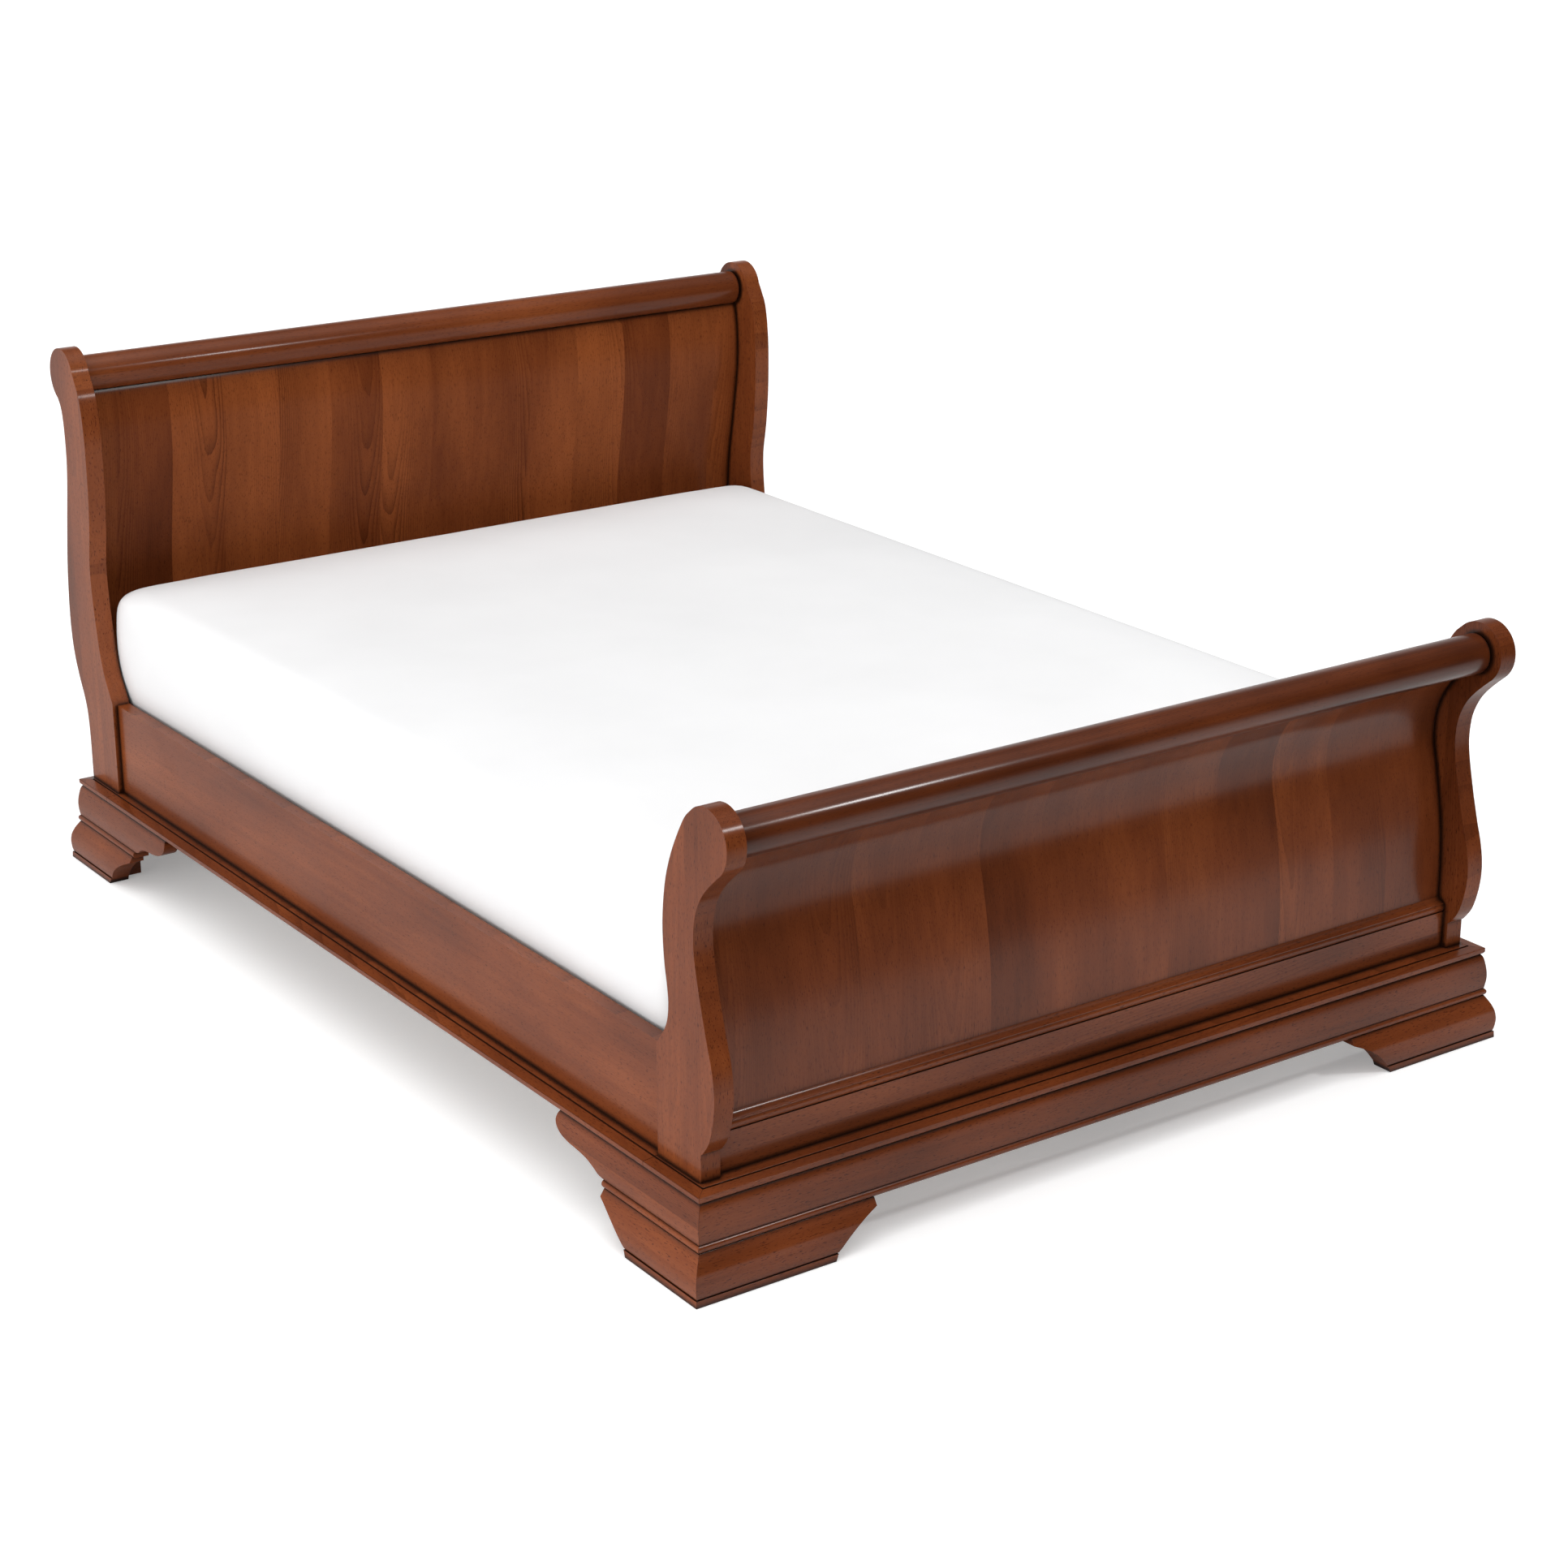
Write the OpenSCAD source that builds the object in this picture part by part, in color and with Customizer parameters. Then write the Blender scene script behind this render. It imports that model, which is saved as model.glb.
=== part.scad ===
// Sleigh bed: scrolled head and foot ends joined by side rails, on a moulded plinth with
// bracket feet, with a slatted base, a centre beam and a loose mattress.
// Width runs along X, length along Y with the foot end towards -Y, and Z is up from the floor.

/* [Overall] */
// Width over the bracket feet
base_w = 1700; // [1500:10:1900]
// Distance from the foot scroll's centre to the head scroll's centre
scroll_span = 2231; // [2187:1:2337]
// Height of the head scroll's centre
head_scroll_z = 991; // [971:1:1011]
// Height of the foot scroll's centre
foot_scroll_z = 719; // [714:1:724]

/* [Scrolled ends] */
// Radius of the scroll that ends each post
scroll_r = 54; // [50:1:56]
// Radius of the round rail between two scrolls
roll_r = 35; // [30:1:40]
// Thickness of a post
post_t = 35; // [30:1:45]
// Thickness of the curved panels
panel_t = 20; // [16:1:22]
// How far a post's outer face stands in from the feet
post_inset = 47; // [45:1:50]

/* [Plinth] */
// Top of the cap moulding
cap_top = 171.5; // [171:0.5:173]
// Underside of the cap moulding
cap_bottom = 157.3; // [157:0.1:158]
// Height of the joint between the astragal and the frieze
frieze_bottom = 92.6; // [92:0.1:93]
// Height of the joint between the bracket feet and the astragal
bracket_top = 79; // [78.5:0.5:79.5]
// Thickness of the bracket feet
bracket_t = 40; // [30:1:42]

/* [Side rails] */
// Top edge of the side rails
rail_top = 354; // [345:1:356]
// Thickness of the side rails
rail_t = 25; // [24:1:28]

/* [Base and mattress] */
// Number of slats
slat_count = 14; // [8:1:18]
// Width of a slat
slat_w = 70; // [50:5:90]
// Thickness of a slat
slat_t = 18; // [15:1:22]
// Height of the slats' top faces
slat_top = 315; // [305:1:325]
// Number of legs under the centre beam
leg_count = 3; // [1:1:4]
// Mattress width
mattress_w = 1520; // [1200:10:1520]
// Mattress length
mattress_l = 2030; // [1900:10:2050]
// Mattress thickness
mattress_h = 265; // [180:5:280]

/* [Hidden] */

mahogany = "#7a4430";
hidden_wood = "#c9a878";
steel = "silver";
ticking = "white";

// Lengths along Y are drawn from the front of the plinth, then moved so that Y = 0 is mid-length.
foot_scroll_y = 35;
head_scroll_y = foot_scroll_y + scroll_span;
mid_y = (foot_scroll_y + head_scroll_y) / 2;
// Back of the head plinth
head_corner_y = head_scroll_y + 23;

half_w = base_w / 2;
post_x = half_w - post_inset;
post_in_x = post_x - post_t;
gap = 0.5;

// Posts: the straight leg below the scrolled part
leg_z = 18;
foot_leg_front = 55;
foot_leg_back = 172;
head_leg_front = head_scroll_y - 130;
head_leg_back = head_scroll_y - 7;
shoulder_z = rail_top + 4;

// Foot bottom rail
low_rail_y = 66;
low_rail_t = 36;
low_rail_top = 237;
head_rail_back = head_leg_back - 3;
head_rail_front = head_rail_back - low_rail_t;
head_rail_top = 262;
low_rail_bottom = bracket_top;
tenon_w = 14;
tenon_l = 22;
tenon_shoulder = 30;

// Side rails
rail_x = half_w - 57;
rail_in_x = rail_x - rail_t;
rail_y0 = foot_leg_back + gap;
rail_y1 = head_leg_front - gap;

// Slatted base
ledge_w = 25;
ledge_h = 32;
ledge_top = slat_top - slat_t;
slat_half = rail_in_x - 3;
slat_y0 = 190;
slat_y1 = head_leg_front - 20;
slat_pitch = (slat_y1 - slat_y0 - slat_w) / (slat_count - 1);
beam_w = 40;
beam_h = 90;
beam_y0 = low_rail_y + low_rail_t;
beam_y1 = head_rail_front;
leg_w = 45;
glide_h = 12;
glide_r = 18;
leg_foot_z = glide_h - 4;

// Screws
screw_r = 2;
screw_head_r = 4.2;
screw_head_h = 2.6;
slat_screw_l = 30;
ledge_screw_l = 38;
short_screw_l = 16;

// Knock-down rail fittings
plate_t = 3;
plate_w = 18;
plate_h = 110;
plate_z = 210;
hook_t = 4;
hook_l = 12;
hook_h = 26;
hook_drop = 10;
hook_pitch = 46;
plate_screw_pitch = 92;
hook_neck = gap + plate_t + 0.3;

// Mattress
mattress_y = (beam_y0 + head_scroll_y) / 2 + 19;
mattress_corner_r = 60;
mattress_lift = 0.3;

smooth = 96;

// Shapes and helpers

// Points on a circle from angle a0 to a1, ends included
function arc(c, r, a0, a1, n) =
    [for (i = [0:n]) let (a = a0 + (a1 - a0) * i / n) c + r * [cos(a), sin(a)]];

// A smooth curve through the given points, n steps between neighbours, last point included
function spline(p, n) = let (m = len(p) - 1) concat(
    [for (i = [0:m - 1]) let (a = p[max(i - 1, 0)], b = p[i], c = p[i + 1], d = p[min(i + 2, m)])
        for (k = [0:n - 1]) let (t = k / n)
            0.5 * (2 * b + (c - a) * t + (2 * a - 5 * b + 4 * c - d) * t * t
                + (3 * b - a - 3 * c + d) * t * t * t)],
    [p[m]]);

// The same curve moved sideways by t, to the right of its direction
function beside(p, t) = let (m = len(p) - 1)
    [for (i = [0:m]) let (d = p[min(i + 1, m)] - p[max(i - 1, 0)]) p[i] + t * [d[1], -d[0]] / norm(d)];

function reversed(p) = [for (i = [len(p) - 1:-1:0]) p[i]];

module in_frame() translate([0, -mid_y, 0]) children();

// A piece drawn on the left, or its mirror image on the right
module on_side(s) {
    if (s == "left") children();
    else mirror([1, 0, 0]) children();
}

// A section drawn as [distance along Y, height], run along X from x0 to x1
module along_x(x0, x1, section)
    translate([x0, 0, 0]) rotate([90, 0, 90]) linear_extrude(height = x1 - x0) polygon(section);

// A section drawn as [inset from the left edge, height], run along Y from y0 to y1
module along_y(y0, y1, section)
    translate([-half_w, y1, 0]) rotate([90, 0, 0]) linear_extrude(height = y1 - y0) polygon(section);

// What stands over a plan outline
module over_plan(plan) linear_extrude(height = cap_top + 1) polygon(plan);

module screw(length) {
    translate([0, 0, -length]) cylinder(h = length - screw_head_h, r = screw_r, $fn = smooth);
    translate([0, 0, -screw_head_h]) cylinder(h = screw_head_h, r1 = screw_r, r2 = screw_head_r, $fn = smooth);
}

// Scrolled ends

foot_scroll = [foot_scroll_y, foot_scroll_z];
head_scroll = [head_scroll_y, head_scroll_z];

// Edge of the foot post that faces the foot end, from the leg up to the scroll
foot_outer_edge = spline([[50, 222], [33, 246], [21.5, 285], [18, 325], [24, 366], [38, 411], [53, 465],
    [66, 521], [69.6, 556], [65.5, 593], [51.5, 625], [32, 649],
    foot_scroll + scroll_r * [cos(235), sin(235)]], 4);
// Edge that faces the mattress, from the scroll down to the rail
foot_inner_edge = spline([foot_scroll + scroll_r * [cos(45), sin(45)], [90, 741], [111, 706], [130, 666],
    [144, 620], [151, 560], [148, 503], [141.5, 465], [138, 436], [141, 408], [151, 386],
    [foot_leg_back, shoulder_z]], 4);

function foot_post_outline() = concat(
    [[foot_leg_front, leg_z], [foot_leg_front, 218], [52, 220]],
    foot_outer_edge,
    arc(foot_scroll, scroll_r, 231, 49, 26),
    foot_inner_edge,
    [[foot_leg_back, leg_z]]);

// Edge of the head post that faces the wall, from the leg up to the scroll; Y from the scroll's centre
head_outer_edge = [for (p = spline([[-7, 250], [-4, 296], [5, 333], [27, 379], [43, 425], [50, 480],
    [48.5, 545], [42, 611], [27, 698], [14, 766], [7.5, 812], [6, 850], [8, 895], [14, 925],
    [scroll_r * cos(298), scroll_r * sin(298) + 991]], 4)) [head_scroll_y + p[0], p[1]]];
// Edge that faces the mattress, from the scroll down to the rail
head_inner_edge = [for (p = spline([[scroll_r * cos(165), scroll_r * sin(165) + 991], [-63, 986],
    [-74, 966], [-81, 940], [-86, 905], [-88.5, 865], [-88.5, 810], [-86, 755], [-79, 690], [-68, 625],
    [-70, 560], [-78, 500], [-87, 450], [-101, 408], [-117, 380], [-130, shoulder_z]], 4))
    [head_scroll_y + p[0], p[1]]];

function head_post_outline() = concat(
    [[head_leg_back, leg_z]],
    head_outer_edge,
    arc(head_scroll, scroll_r, -58, 161, 30),
    head_inner_edge,
    [[head_leg_front, leg_z]]);

// Pocket in a post for the slot plate, with the hooks' room behind it; dir is +1 or -1 along Y, into the post
module plate_pocket(y, dir) {
    x = -rail_in_x - rail_t / 2;
    translate([x - plate_w / 2, min(y, y + dir * plate_t), plate_z - plate_h / 2])
        cube([plate_w, plate_t, plate_h]);
    translate([x - hook_t, min(y, y + dir * (plate_t + hook_l)), plate_z - plate_h / 2 + 8])
        cube([2 * hook_t, plate_t + hook_l, plate_h - 16]);
    for (z = [-1, 1] * plate_screw_pitch / 2)
        translate([x, y + dir * (plate_t + short_screw_l / 2), plate_z + z]) rotate([90, 0, 0])
            cylinder(h = short_screw_l, r = screw_r, center = true, $fn = smooth);
}

module post(outline, roll_centre, tenon_y, tenon_top, joint_y, dir) {
    difference() {
        along_x(-post_x, -post_in_x, outline);
        translate([-post_in_x - tenon_l, roll_centre[0], roll_centre[1]]) rotate([0, 90, 0])
            cylinder(h = tenon_l + 1, r = spigot_r + 0.1, $fn = smooth);
        translate([-post_in_x - tenon_l, tenon_y, low_rail_bottom + tenon_shoulder])
            cube([tenon_l + 1, tenon_w, tenon_top - low_rail_bottom - 2 * tenon_shoulder]);
        plate_pocket(joint_y, dir);
    }
}

foot_tenon_y = low_rail_y + (low_rail_t - tenon_w) / 2;
head_tenon_y = head_rail_front + (low_rail_t - tenon_w) / 2;

module foot_post(s) color(mahogany) in_frame() on_side(s)
    post(foot_post_outline(), foot_scroll, foot_tenon_y, low_rail_top, foot_leg_back, -1);

module head_post(s) color(mahogany) in_frame() on_side(s)
    post(head_post_outline(), head_scroll, head_tenon_y, head_rail_top, head_leg_front, 1);

// Round rail with softened ends and a spigot that enters each post
spigot_r = 12;
roll_gap = 1.5;
roll_edge_r = 7;
module roll(centre) {
    end = post_in_x - roll_gap;
    half_section = concat(
        [[0, post_in_x + tenon_l - 2], [spigot_r, post_in_x + tenon_l - 2], [spigot_r, end]],
        [for (p = arc([roll_r - roll_edge_r, end - roll_edge_r], roll_edge_r, 90, 0, 8)) p],
        [for (p = arc([roll_r - roll_edge_r, roll_edge_r - end], roll_edge_r, 0, -90, 8)) p],
        [[spigot_r, -end], [spigot_r, -post_in_x - tenon_l + 2], [0, -post_in_x - tenon_l + 2]]);
    translate([0, centre[0], centre[1]]) rotate([0, 90, 0])
        rotate_extrude($fn = smooth) polygon(half_section);
}

module foot_roll() color(mahogany) in_frame() roll(foot_scroll);
module head_roll() color(mahogany) in_frame() roll(head_scroll);

// Curved panel: its show face and its back, a panel's thickness apart; it stops at the roll
module panel(face, side, roll_centre) {
    x = post_in_x - gap;
    difference() {
        along_x(-x, x, concat(face, reversed(beside(face, side * panel_t))));
        translate([-x - 1, roll_centre[0], roll_centre[1]]) rotate([0, 90, 0])
            cylinder(h = 2 * x + 2, r = roll_r, $fn = smooth);
    }
}

foot_panel_face = concat([[81, low_rail_top]], spline([[81, 266], [81.5, 300], [82.5, 330], [84.5, 360],
    [89, 400], [98, 452], [108, 500], [115.5, 530], [118.5, 556], [116, 590], [106, 622],
    [88, 652], [foot_scroll_y + 25, 682]], 4));
head_panel_face = [for (p = concat([[-30, head_rail_top]], spline([[-30, 268], [-26, 300], [-10, 350],
    [8, 410], [18, 460], [22, 510], [21, 560], [15, 620], [2, 690], [-10, 760], [-18, 815],
    [-20, 860], [-18, 905], [-12, 945], [-4, 966]], 4))) [head_scroll_y + p[0], p[1]]];

module foot_panel() color(mahogany) in_frame() panel(foot_panel_face, 1, foot_scroll);
module head_panel() color(mahogany) in_frame() panel(head_panel_face, 1, head_scroll);

// Bead along the foot of the panel: a quirk, a swelled face, a sharp fillet and a cove up to the panel
module foot_panel_bead() color(mahogany) in_frame() let (section = concat(
        [[81, 0], [68.5, 0], [68.5, 1.8]],
        spline([[66.6, 1.8], [65.4, 5.5], [65.6, 10], [67, 13.2]], 4),
        [[67, 14.4], [66.2, 14.4]],
        spline([[66.2, 16], [72, 17], [77.5, 19.5], [81, 24]], 4)))
    along_x(gap - post_in_x, post_in_x - gap, [for (p = section) [p[0], low_rail_top + p[1]]]);

// Cross rail with a tenon at each end
module cross_rail(y0, top, tenon_y) {
    difference() {
        union() {
            translate([-post_in_x, y0, low_rail_bottom])
                cube([2 * post_in_x, low_rail_t, top - low_rail_bottom]);
            for (s = [-1, 1])
                translate([s * (post_in_x + (tenon_l - 2) / 2) - (tenon_l - 2) / 2, tenon_y,
                    low_rail_bottom + tenon_shoulder])
                    cube([tenon_l - 2, tenon_w, top - low_rail_bottom - 2 * tenon_shoulder]);
        }
        at_hangers() hanger_screw_places() screw(short_screw_l);
    }
}

module foot_bottom_rail() color(mahogany) in_frame()
    cross_rail(low_rail_y, low_rail_top, foot_tenon_y);
module head_bottom_rail() color(mahogany) in_frame()
    cross_rail(head_rail_front, head_rail_top, head_tenon_y);

// Plinth mouldings, as sections of [inset from the plinth's edge, height]

nose_in = 19.6;
nose_r = 6;
quirk_in = 42;
function cap_section(back) = concat(
    [[back, cap_bottom]],
    arc([nose_in + nose_r, cap_bottom + nose_r], nose_r, 270, 180, 8),
    [[nose_in, cap_top - 3.2], [nose_in + 0.8, cap_top - 2.4], [quirk_in - 2, cap_top - 1.2],
     [quirk_in - 2, cap_top - 3.4], [quirk_in, cap_top - 3.4], [quirk_in, cap_top], [back, cap_top]]);

// A swelled face whose shoulder turns in under the cap
function frieze_section(back) = concat(
    [[back, frieze_bottom]],
    spline([[17.7, frieze_bottom], [15.8, 106], [15.4, 119], [17.2, 134], [20.9, 150], [25.5, cap_bottom]], 4),
    [[back, cap_bottom]]);

astragal_in = 13.8;
function astragal_section(back) = let (r = (frieze_bottom - bracket_top) / 2) concat(
    [[back, bracket_top]],
    arc([astragal_in + r, bracket_top + r], r, 270, 90, 14),
    [[back, frieze_bottom]]);

// A fillet at the floor, a quirk, and a cushion that turns in under the astragal
function bracket_section() = concat(
    [[bracket_t, 0], [0.4, 0], [1.2, 11.4], [4.5, 11.4], [4.5, 12.8]],
    spline([[2.9, 12.8], [0.9, 22], [0, 36], [1.8, 49], [5.2, 58.5], [9.4, 67], [17, bracket_top]], 4),
    [[bracket_t, bracket_top]]);

// Elevations, as [distance from the corner, height]
function bracket_wing(reach) = concat(
    [[-1, -1], [reach - 83, -1], [reach - 83, 0], [reach - 79, 10]],
    spline([[reach - 79, 10], [reach - 60, 32], [reach - 41, 47], [reach - 20, 58.5], [reach, 67]], 4),
    [[reach, bracket_top + 1], [-1, bracket_top + 1]]);

side_reach = 281;
head_reach = 273;
front_reach = 341;
frieze_reach = 424;
frieze_wing = concat(
    [[-1, frieze_bottom - 1], [286, frieze_bottom - 1], [286, frieze_bottom]],
    spline([[286, frieze_bottom], [299, 95], [312, 103], [330, 110.5], [355, 114.5], [382, 117],
        [404, 122], [418, 130], [frieze_reach, 139], [423, 148], [419, cap_bottom]], 3),
    [[419, cap_bottom + 1], [-1, cap_bottom + 1]]);

// Plan of the front mouldings: mitred at the corners and let in round the posts
front_plan = [[-half_w, 0], [half_w, 0], [post_x, post_inset], [post_x, foot_leg_front],
    [post_in_x, foot_leg_front], [post_in_x, low_rail_y], [-post_in_x, low_rail_y],
    [-post_in_x, foot_leg_front], [-post_x, foot_leg_front], [-post_x, post_inset]];

module front_moulding(section) intersection() {
    along_x(-half_w, half_w, section);
    over_plan(front_plan);
}

// Side moulding at the foot end, mitred at its front end, as far back as y1
module foot_side_moulding(section, y1) intersection() {
    along_y(0, y1, section);
    over_plan([[-half_w, 0], [-half_w + post_inset, post_inset], [-half_w + post_inset, y1], [-half_w, y1]]);
}

// Plan of the back mouldings, mitred and let in round the posts in the same way
back_plan = [[-half_w, head_corner_y], [half_w, head_corner_y], [post_x, head_corner_y - post_inset],
    [post_x, head_leg_back], [post_in_x, head_leg_back], [post_in_x, head_rail_back],
    [-post_in_x, head_rail_back], [-post_in_x, head_leg_back], [-post_x, head_leg_back],
    [-post_x, head_corner_y - post_inset]];

module back_moulding(section) intersection() {
    along_x(-half_w, half_w, [for (p = section) [head_corner_y - p[0], p[1]]]);
    over_plan(back_plan);
}

// Side moulding at the head end, from y0 to its mitre at the back
module head_side_moulding(section, y0) intersection() {
    along_y(y0, head_corner_y, section);
    over_plan([[-half_w, y0], [-half_w + post_inset, y0],
        [-half_w + post_inset, head_corner_y - post_inset], [-half_w, head_corner_y]]);
}

// What stands over a wing's elevation, drawn from the foot corner or, turned round, from the head corner;
// the wings of the head plinth reach a little less far
wing_cut = 5;
module side_wing(wing, head) {
    flip = head ? -1 : 1;
    translate([-half_w - 1, 0, 0]) rotate([90, 0, 90]) linear_extrude(height = 2 * post_inset)
        polygon([for (p = wing) [(head ? head_corner_y + wing_cut : 0) + flip * p[0], p[1]]]);
}

module foot_cap_front() color(mahogany) in_frame() front_moulding(cap_section(low_rail_y));
module foot_cap(s) color(mahogany) in_frame() on_side(s)
    foot_side_moulding(cap_section(post_inset), foot_leg_back);
module head_cap(s) color(mahogany) in_frame() on_side(s)
    head_side_moulding(cap_section(post_inset), head_leg_front);
module head_cap_back() color(mahogany) in_frame() back_moulding(cap_section(post_inset));

module foot_frieze_front() color(mahogany) in_frame() front_moulding(frieze_section(low_rail_y));
module foot_frieze(s) color(mahogany) in_frame() on_side(s) intersection() {
    foot_side_moulding(frieze_section(post_inset), frieze_reach + 2);
    side_wing(frieze_wing, false);
}
module head_frieze(s) color(mahogany) in_frame() on_side(s) intersection() {
    head_side_moulding(frieze_section(post_inset), head_corner_y - frieze_reach - 2);
    side_wing(frieze_wing, true);
}
module head_frieze_back() color(mahogany) in_frame() back_moulding(frieze_section(post_inset));

astragal_reach = 284;
module foot_astragal_front() color(mahogany) in_frame() front_moulding(astragal_section(low_rail_y));
module foot_astragal(s) color(mahogany) in_frame() on_side(s)
    foot_side_moulding(astragal_section(post_inset), astragal_reach);
module head_astragal(s) color(mahogany) in_frame() on_side(s)
    head_side_moulding(astragal_section(post_inset), head_corner_y + wing_cut - astragal_reach);
module head_astragal_back() color(mahogany) in_frame() back_moulding(astragal_section(post_inset));

module foot_bracket_front(s) color(mahogany) in_frame() on_side(s) intersection() {
    along_x(-half_w, front_reach - half_w, bracket_section());
    over_plan([[-half_w, 0], [front_reach - half_w, 0], [front_reach - half_w, bracket_t],
        [bracket_t - half_w, bracket_t]]);
    translate([-half_w, bracket_t + 1, 0]) rotate([90, 0, 0])
        linear_extrude(height = bracket_t + 2) polygon(bracket_wing(front_reach));
}
module foot_bracket_side(s) color(mahogany) in_frame() on_side(s) intersection() {
    along_y(0, side_reach, bracket_section());
    over_plan([[-half_w, 0], [bracket_t - half_w, bracket_t], [bracket_t - half_w, side_reach],
        [-half_w, side_reach]]);
    side_wing(bracket_wing(side_reach), false);
}
module head_bracket_side(s) color(mahogany) in_frame() on_side(s) intersection() {
    along_y(head_corner_y - head_reach, head_corner_y, bracket_section());
    over_plan([[-half_w, head_corner_y], [bracket_t - half_w, head_corner_y - bracket_t],
        [bracket_t - half_w, head_corner_y - head_reach], [-half_w, head_corner_y - head_reach]]);
    side_wing(bracket_wing(head_reach), true);
}
module head_bracket_back(s) color(mahogany) in_frame() on_side(s) intersection() {
    back_moulding(bracket_section());
    translate([-half_w, head_corner_y + 1, 0]) rotate([90, 0, 0])
        linear_extrude(height = bracket_t + 2) polygon(bracket_wing(front_reach));
}

// Glue blocks that fill the corners between the brackets and the posts' legs
block_z0 = 8;
block_t = 28;
module corner_blocks() color(mahogany) in_frame() for (s = ["left", "right"]) on_side(s)
    let (x0 = bracket_t - half_w) translate([0, 0, block_z0])
        linear_extrude(height = bracket_top - block_z0) {
            polygon([[x0, bracket_t], [x0 + 208, bracket_t], [x0 + 208, low_rail_y - 2],
                [-post_in_x, low_rail_y - 2], [-post_in_x, foot_leg_front], [-post_x, foot_leg_front],
                [-post_x, foot_leg_back], [x0 + block_t, foot_leg_back], [x0 + block_t, 195], [x0, 195]]);
            polygon([[x0, head_leg_front - 32], [x0 + block_t, head_leg_front - 32],
                [x0 + block_t, head_leg_front], [-post_x, head_leg_front],
                [-post_x, head_corner_y - post_inset], [x0, head_corner_y - post_inset]]);
        }

// Side rails

ledge_screw_y = [for (i = [0:5]) rail_y0 + 120 + i * (rail_y1 - rail_y0 - 240) / 5];
hook_x = -rail_in_x - rail_t / 2;

module ledge_screw_places() for (y = ledge_screw_y)
    translate([ledge_w - rail_in_x, y, ledge_top - ledge_h / 2]) rotate([0, 90, 0]) children();

module side_rail(s) color(mahogany) in_frame() on_side(s) difference() {
    translate([-rail_x, rail_y0, cap_bottom]) cube([rail_t, rail_y1 - rail_y0, rail_top - cap_bottom]);
    for (y = [rail_y0 - 1, rail_y1 - plate_t])
        translate([hook_x - plate_w / 2, y, plate_z - plate_h / 2]) cube([plate_w, plate_t + 1, plate_h]);
    for (e = [[rail_y0, 1], [rail_y1, -1]], z = [-1, 1] * plate_screw_pitch / 2)
        translate([hook_x, e[0] + e[1] * (plate_t + short_screw_l / 2), plate_z + z]) rotate([90, 0, 0])
            cylinder(h = short_screw_l, r = screw_r, center = true, $fn = smooth);
    ledge_screw_places() screw(ledge_screw_l);
}

module rail_moulding(s) color(mahogany) in_frame() on_side(s)
    along_y(rail_y0, rail_y1, cap_section(half_w - rail_x));

module slat_ledge(s) color(hidden_wood) in_frame() on_side(s) difference() {
    translate([-rail_in_x, rail_y0 + 5, ledge_top - ledge_h])
        cube([ledge_w, rail_y1 - rail_y0 - 10, ledge_h]);
    ledge_screw_places() screw(ledge_screw_l);
    slat_screw_places(-1) screw(slat_screw_l);
}

module ledge_screws() color(steel) in_frame() for (s = ["left", "right"]) on_side(s)
    ledge_screw_places() screw(ledge_screw_l);

// Slatted base

module slat_screw_places(side) for (i = [0:slat_count - 1])
    translate([side * (rail_in_x - ledge_w / 2), slat_y0 + slat_w / 2 + i * slat_pitch, slat_top])
        children();

module slats() color(hidden_wood) in_frame() difference() {
    for (i = [0:slat_count - 1])
        translate([-slat_half, slat_y0 + i * slat_pitch, ledge_top]) cube([2 * slat_half, slat_w, slat_t]);
    for (side = [-1, 1]) slat_screw_places(side) screw(slat_screw_l);
}

module slat_screws() color(steel) in_frame() for (side = [-1, 1]) slat_screw_places(side) screw(slat_screw_l);

leg_y = [for (i = [1:leg_count]) beam_y0 + i * (beam_y1 - beam_y0) / (leg_count + 1)];

module centre_beam() color(hidden_wood) in_frame()
    translate([-beam_w / 2, beam_y0 + hanger_t, ledge_top - beam_h])
        cube([beam_w, beam_y1 - beam_y0 - 2 * hanger_t, beam_h]);

module centre_legs() color(hidden_wood) in_frame() difference() {
    for (y = leg_y)
        translate([-leg_w / 2, y - leg_w / 2, glide_h]) cube([leg_w, leg_w, ledge_top - beam_h - glide_h]);
    for (y = leg_y) translate([0, y, glide_h]) cylinder(h = glide_stem_l, r = glide_stem_r, $fn = smooth);
}

glide_stem_r = 4;
glide_stem_l = 25;
module leg_glides() color("dimgray") in_frame() for (y = leg_y) translate([0, y, 0]) {
    cylinder(h = glide_h, r = glide_r, $fn = smooth);
    translate([0, 0, glide_h - 1]) cylinder(h = glide_stem_l + 1, r = glide_stem_r, $fn = smooth);
}

// Steel hangers that carry the beam's ends: a back plate, a floor and two cheeks
hanger_t = 3;
hanger_l = 45;
hanger_h = 30;
hanger_flange = 22;
hanger_z = ledge_top - beam_h;

module hanger() {
    difference() {
        translate([-beam_w / 2 - hanger_t - hanger_flange, 0, 0])
            cube([beam_w + 2 * (hanger_t + hanger_flange), hanger_t, hanger_h]);
        hanger_screw_places() screw(short_screw_l);
    }
    translate([-beam_w / 2 - hanger_t, 0, -hanger_t]) cube([beam_w + 2 * hanger_t, hanger_l, hanger_t]);
    for (x = [-beam_w / 2 - hanger_t, beam_w / 2]) translate([x, 0, -hanger_t])
        cube([hanger_t, hanger_l, hanger_h + hanger_t]);
}

module hanger_screw_places() for (x = [-1, 1], z = [0.25, 0.75])
    translate([x * (beam_w / 2 + hanger_t + hanger_flange / 2), hanger_t, z * hanger_h])
        rotate([-90, 0, 0]) children();

module at_hangers() {
    translate([0, beam_y0, hanger_z]) children();
    translate([0, beam_y1, hanger_z]) mirror([0, 1, 0]) children();
}

module beam_hangers() color(steel) in_frame() at_hangers() hanger();
module hanger_screws() color(steel) in_frame() at_hangers() hanger_screw_places() screw(short_screw_l);

// Knock-down fittings: hooks on the rails drop through slots in the posts' plates and down behind them

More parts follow.
